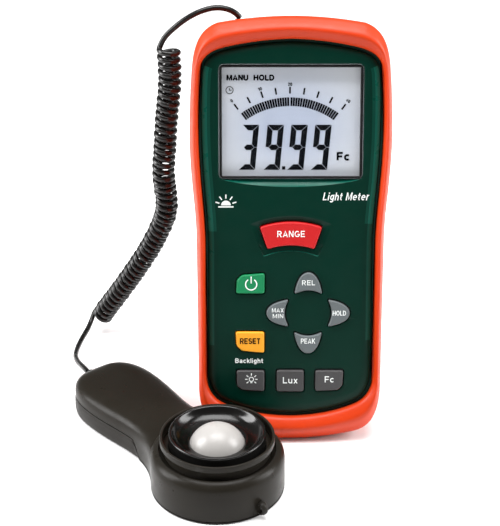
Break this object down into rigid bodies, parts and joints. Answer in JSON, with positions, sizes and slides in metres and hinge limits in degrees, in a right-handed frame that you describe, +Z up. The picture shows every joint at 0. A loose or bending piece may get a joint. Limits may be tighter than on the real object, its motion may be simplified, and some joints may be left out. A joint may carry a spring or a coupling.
{
  "type": "light meter",
  "caption": "Hand-held light meter in a rubber boot with a tilt stand, and a separate domed light sensor on a coiled cord.",
  "frame": {"origin": "on the table, in the middle of the flat at the foot of the boot that the meter stands on", "axes": "+Z up, +X to the reader's right, +Y away from the reader, behind the meter; the face looks towards -Y and up"},
  "size_m": [0.1353, 0.1526, 0.1644],
  "materials": {
    "boot_rubber": "satin moulded rubber, orange",
    "green_plastic": "dark green moulded plastic with a fine grain",
    "black_plastic": "black moulded plastic",
    "cord_jacket": "black cord jacket, satin",
    "display_glass": "clear display window",
    "lcd_film": "grey-blue liquid crystal panel",
    "white_plastic": "white translucent plastic",
    "board_laminate": "green circuit laminate",
    "mat_rubber": "grey silicone",
    "key_green": "green key rubber",
    "key_yellow": "yellow key rubber",
    "key_red": "red key rubber",
    "key_grey": "grey key rubber",
    "key_dark": "dark grey key rubber",
    "sensor_plastic": "dark brown-black plastic, satin",
    "steel": "plated steel screws and pins",
    "battery_jacket": "plain dark battery jacket",
    "filter_glass": "green correction filter",
    "detector": "detector chip"
  },
  "bodies": {
    "meter": {"holster": "boot_rubber", "front_housing": "green_plastic", "rear_housing": "green_plastic", "display_bezel": "black_plastic", "display_window": "display_glass", "lcd_panel": "lcd_film", "backlight_panel": "white_plastic", "main_board": "board_laminate", "keypad_mat": "mat_rubber", "battery": "battery_jacket", "battery_snap": "black_plastic", "housing_screw_1": "steel", "housing_screw_2": "steel", "housing_screw_3": "steel", "housing_screw_4": "steel", "cord_grommet": "black_plastic", "stand_pin_1": "steel", "stand_pin_2": "steel", "cord_lead": "cord_jacket", "cord_coil": "cord_jacket", "cord_tail": "cord_jacket"},
    "power_key": {"power_key": "key_green"},
    "reset_key": {"reset_key": "key_yellow"},
    "range_key": {"range_key": "key_red"},
    "rel_key": {"rel_key": "key_grey"},
    "max_min_key": {"max_min_key": "key_grey"},
    "peak_key": {"peak_key": "key_grey"},
    "hold_key": {"hold_key": "key_grey"},
    "backlight_key": {"backlight_key": "key_dark"},
    "lux_key": {"lux_key": "key_dark"},
    "foot_candle_key": {"foot_candle_key": "key_dark"},
    "tilt_stand": {"tilt_stand": "black_plastic"},
    "battery_door": {"battery_door": "green_plastic", "battery_door_screw": "steel"},
    "sensor": {"sensor_bottom_shell": "sensor_plastic", "sensor_top_shell": "sensor_plastic", "sensor_ring": "sensor_plastic", "sensor_cone": "sensor_plastic", "sensor_board": "board_laminate", "sensor_screw_1": "steel", "sensor_screw_2": "steel", "sensor_strain_relief": "black_plastic", "diffuser_dome": "white_plastic", "filter_disc": "filter_glass", "photodiode": "detector"}
  },
  "joints": [
    {"name": "power_key_press", "type": "slide", "parent": "meter", "child": "power_key", "axis": [0, 0.9659, -0.2588], "range_m": [0, 0.0008], "stiffness_N_per_m": 200},
    {"name": "reset_key_press", "type": "slide", "parent": "meter", "child": "reset_key", "axis": [0, 0.9659, -0.2588], "range_m": [0, 0.0008], "stiffness_N_per_m": 200},
    {"name": "range_key_press", "type": "slide", "parent": "meter", "child": "range_key", "axis": [0, 0.9659, -0.2588], "range_m": [0, 0.0008], "stiffness_N_per_m": 200},
    {"name": "rel_key_press", "type": "slide", "parent": "meter", "child": "rel_key", "axis": [0, 0.9659, -0.2588], "range_m": [0, 0.0008], "stiffness_N_per_m": 200},
    {"name": "max_min_key_press", "type": "slide", "parent": "meter", "child": "max_min_key", "axis": [0, 0.9659, -0.2588], "range_m": [0, 0.0008], "stiffness_N_per_m": 200},
    {"name": "peak_key_press", "type": "slide", "parent": "meter", "child": "peak_key", "axis": [0, 0.9659, -0.2588], "range_m": [0, 0.0008], "stiffness_N_per_m": 200},
    {"name": "hold_key_press", "type": "slide", "parent": "meter", "child": "hold_key", "axis": [0, 0.9659, -0.2588], "range_m": [0, 0.0008], "stiffness_N_per_m": 200},
    {"name": "backlight_key_press", "type": "slide", "parent": "meter", "child": "backlight_key", "axis": [0, 0.9659, -0.2588], "range_m": [0, 0.0008], "stiffness_N_per_m": 200},
    {"name": "lux_key_press", "type": "slide", "parent": "meter", "child": "lux_key", "axis": [0, 0.9659, -0.2588], "range_m": [0, 0.0008], "stiffness_N_per_m": 200},
    {"name": "foot_candle_key_press", "type": "slide", "parent": "meter", "child": "foot_candle_key", "axis": [0, 0.9659, -0.2588], "range_m": [0, 0.0008], "stiffness_N_per_m": 200},
    {"name": "stand_hinge", "type": "hinge", "parent": "meter", "child": "tilt_stand", "pos_m": [0, 0.0366, 0.08576], "axis": [1, 0, 0], "range_deg": [-30.41, 0]},
    {"name": "battery_door_lift", "type": "slide", "parent": "meter", "child": "battery_door", "axis": [0, 0.9659, -0.2588], "range_m": [0, 0.012]},
    {"name": "sensor_slide", "type": "slide", "parent": "meter", "child": "sensor", "axis": [0, -1, 0], "range_m": [0, 0.1]}
  ]
}
